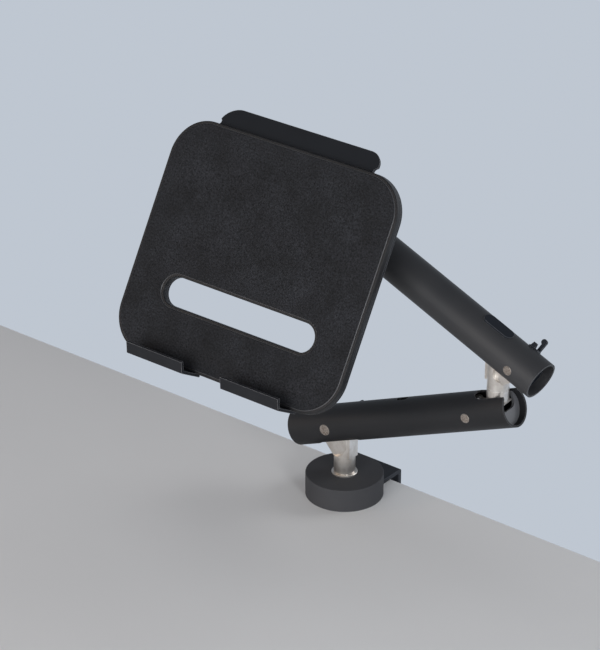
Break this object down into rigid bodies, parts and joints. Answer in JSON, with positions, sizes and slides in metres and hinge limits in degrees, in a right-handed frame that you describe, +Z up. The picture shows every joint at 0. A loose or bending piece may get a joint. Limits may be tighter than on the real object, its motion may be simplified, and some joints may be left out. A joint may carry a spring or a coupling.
{
  "type": "desk clamp tablet holder arm",
  "caption": "Two-section spring-balanced arm on a desk clamp, carrying a padded, slotted tablet tray that tilts, pans and turns.",
  "frame": {"origin": "on the post's axis, where the base's mat rests on the desk top", "axes": "+Z up along the post, +Y out over the rear edge of the desk, +X along that edge"},
  "size_m": [0.4414, 0.2366, 0.5206],
  "materials": {
    "tube_paint": "satin graphite powder coat",
    "bracket_paint": "fine powder coat",
    "puck_plastic": "fine matte texture",
    "cap_plastic": "matte",
    "plug_plastic": "matte grey",
    "link_alloy": "polished cast",
    "pin_steel": "turned",
    "screw_steel": "zinc plated",
    "bush_plastic": "smooth",
    "rubber": "matte",
    "tray_paint": "fine powder coat",
    "pad_fabric": "woven and padded"
  },
  "bodies": {
    "base": {"base_cover": "puck_plastic", "base_mat": "rubber", "clamp_bracket": "bracket_paint", "post_socket": "link_alloy", "socket_screws": "screw_steel", "socket_bush": "link_alloy", "lower_jaw": "bracket_paint", "jaw_bolts": "screw_steel", "jaw_nuts": "screw_steel"},
    "clamp_foot": {"pressure_foot": "screw_steel", "foot_pad": "rubber"},
    "clamp_spindle": {"clamp_screw": "screw_steel", "clamp_knob": "cap_plastic"},
    "post": {"base_post": "link_alloy", "post_washer": "screw_steel", "post_screw": "screw_steel", "base_bushes": "bush_plastic", "base_link_pin": "pin_steel"},
    "lower_arm": {"lower_tube": "tube_paint", "lower_tail_cap": "cap_plastic", "lower_end_plug": "plug_plastic", "base_pin": "pin_steel", "elbow_pin": "pin_steel", "lower_gas_spring": "bracket_paint", "lower_spring_seat": "cap_plastic", "lower_cable_clip": "cap_plastic"},
    "lower_rod": {"lower_link_rod": "screw_steel"},
    "lower_piston": {"lower_piston_rod": "screw_steel"},
    "elbow_lower": {"elbow_lower_link": "link_alloy", "elbow_bushes": "bush_plastic", "elbow_link_pin": "pin_steel", "elbow_swivel_screw": "screw_steel"},
    "elbow_upper": {"elbow_upper_link": "link_alloy", "elbow_swivel_bush": "bush_plastic", "shoulder_bushes": "bush_plastic", "shoulder_link_pin": "pin_steel"},
    "upper_arm": {"upper_tube": "tube_paint", "upper_window_cover": "cap_plastic", "upper_end_caps": "cap_plastic", "upper_arm_pins": "pin_steel", "upper_gas_spring": "bracket_paint", "upper_spring_seat": "cap_plastic", "upper_cable_clip": "cap_plastic"},
    "upper_rod": {"upper_link_rod": "screw_steel"},
    "upper_piston": {"upper_piston_rod": "screw_steel"},
    "head": {"head_link": "link_alloy", "head_bushes": "bush_plastic", "head_link_pin": "pin_steel", "pan_swivel_bush": "bush_plastic"},
    "head_pan": {"pan_arm": "link_alloy", "pan_swivel_screw": "screw_steel"},
    "head_tilt": {"tilt_bracket": "bracket_paint", "tilt_axle": "screw_steel", "tilt_nut": "screw_steel", "tilt_washers": "bush_plastic"},
    "holder": {"swivel_plate": "bracket_paint", "plate_screws": "screw_steel", "rotation_bolt": "screw_steel", "holder_tray": "tray_paint", "holder_pad": "pad_fabric"}
  },
  "joints": [
    {"name": "foot_slide", "type": "slide", "parent": "base", "child": "clamp_foot", "axis": [0, 0, 1], "range_m": [-0.03, 0.015]},
    {"name": "clamp_turn", "type": "hinge", "parent": "clamp_foot", "child": "clamp_spindle", "pos_m": [-0.012, 0.01, -0.025], "axis": [0, 0, 1], "range_deg": [-7200, 3600]},
    {"name": "base_swivel", "type": "hinge", "parent": "base", "child": "post", "pos_m": [0, 0, 0], "axis": [0, 0, 1], "range_deg": [-170, 170]},
    {"name": "lower_lift", "type": "hinge", "parent": "post", "child": "lower_arm", "pos_m": [-0.01198, -0.00063, 0.0791], "axis": [0.0523, -0.9986, 0], "range_deg": [-31, 8]},
    {"name": "lower_rod_link", "type": "hinge", "parent": "post", "child": "lower_rod", "pos_m": [-0.01198, -0.00063, 0.0901], "axis": [0.0523, -0.9986, 0], "range_deg": [-31, 8]},
    {"name": "lower_piston_slide", "type": "slide", "parent": "lower_arm", "child": "lower_piston", "axis": [-0.9259, -0.0485, -0.3746], "range_m": [-0.008, 0.006]},
    {"name": "elbow_level", "type": "hinge", "parent": "lower_arm", "child": "elbow_lower", "pos_m": [0.15746, 0.00825, 0.14765], "axis": [0.0523, -0.9986, 0], "range_deg": [-8, 31]},
    {"name": "elbow_swivel", "type": "hinge", "parent": "elbow_lower", "child": "elbow_upper", "pos_m": [0.18242, 0.00956, 0.14765], "axis": [0, 0, 1], "range_deg": [-165, 165]},
    {"name": "upper_lift", "type": "hinge", "parent": "elbow_upper", "child": "upper_arm", "pos_m": [0.20739, 0.00825, 0.21675], "axis": [0.0523, 0.9986, 0], "range_deg": [-28, 21]},
    {"name": "upper_rod_link", "type": "hinge", "parent": "elbow_upper", "child": "upper_rod", "pos_m": [0.20739, 0.00825, 0.22775], "axis": [0.0523, 0.9986, 0], "range_deg": [-28, 21]},
    {"name": "upper_piston_slide", "type": "slide", "parent": "upper_arm", "child": "upper_piston", "axis": [0.9354, -0.049, -0.3502], "range_m": [-0.008, 0.006]},
    {"name": "head_level", "type": "hinge", "parent": "upper_arm", "child": "head", "pos_m": [-0.03768, 0.0211, 0.30851], "axis": [0.0523, 0.9986, 0], "range_deg": [-21, 28]},
    {"name": "head_pan", "type": "hinge", "parent": "head", "child": "head_pan", "pos_m": [-0.06265, 0.0224, 0.2493], "axis": [0, 0, 1], "range_deg": [-90, 16]},
    {"name": "head_tilt", "type": "hinge", "parent": "head_pan", "child": "head_tilt", "pos_m": [-0.0608, -0.03056, 0.2493], "axis": [0.9994, 0.0349, 0], "range_deg": [-15, 40]},
    {"name": "plate_turn", "type": "hinge", "parent": "head_tilt", "child": "holder", "pos_m": [-0.05926, -0.0747, 0.2748], "axis": [0.0302, -0.8655, 0.5], "range_deg": [-90, 90]}
  ],
  "couplings": [
    {"joint": "clamp_turn", "follows": "foot_slide", "rad_per_m": 4188.8},
    {"joint": "lower_rod_link", "follows": "lower_lift", "ratio": 1},
    {"joint": "lower_piston_slide", "follows": "lower_lift", "m_per_rad": 0.012},
    {"joint": "elbow_level", "follows": "lower_lift", "ratio": -1},
    {"joint": "upper_rod_link", "follows": "upper_lift", "ratio": 1},
    {"joint": "upper_piston_slide", "follows": "upper_lift", "m_per_rad": 0.012},
    {"joint": "head_level", "follows": "upper_lift", "ratio": -1}
  ]
}
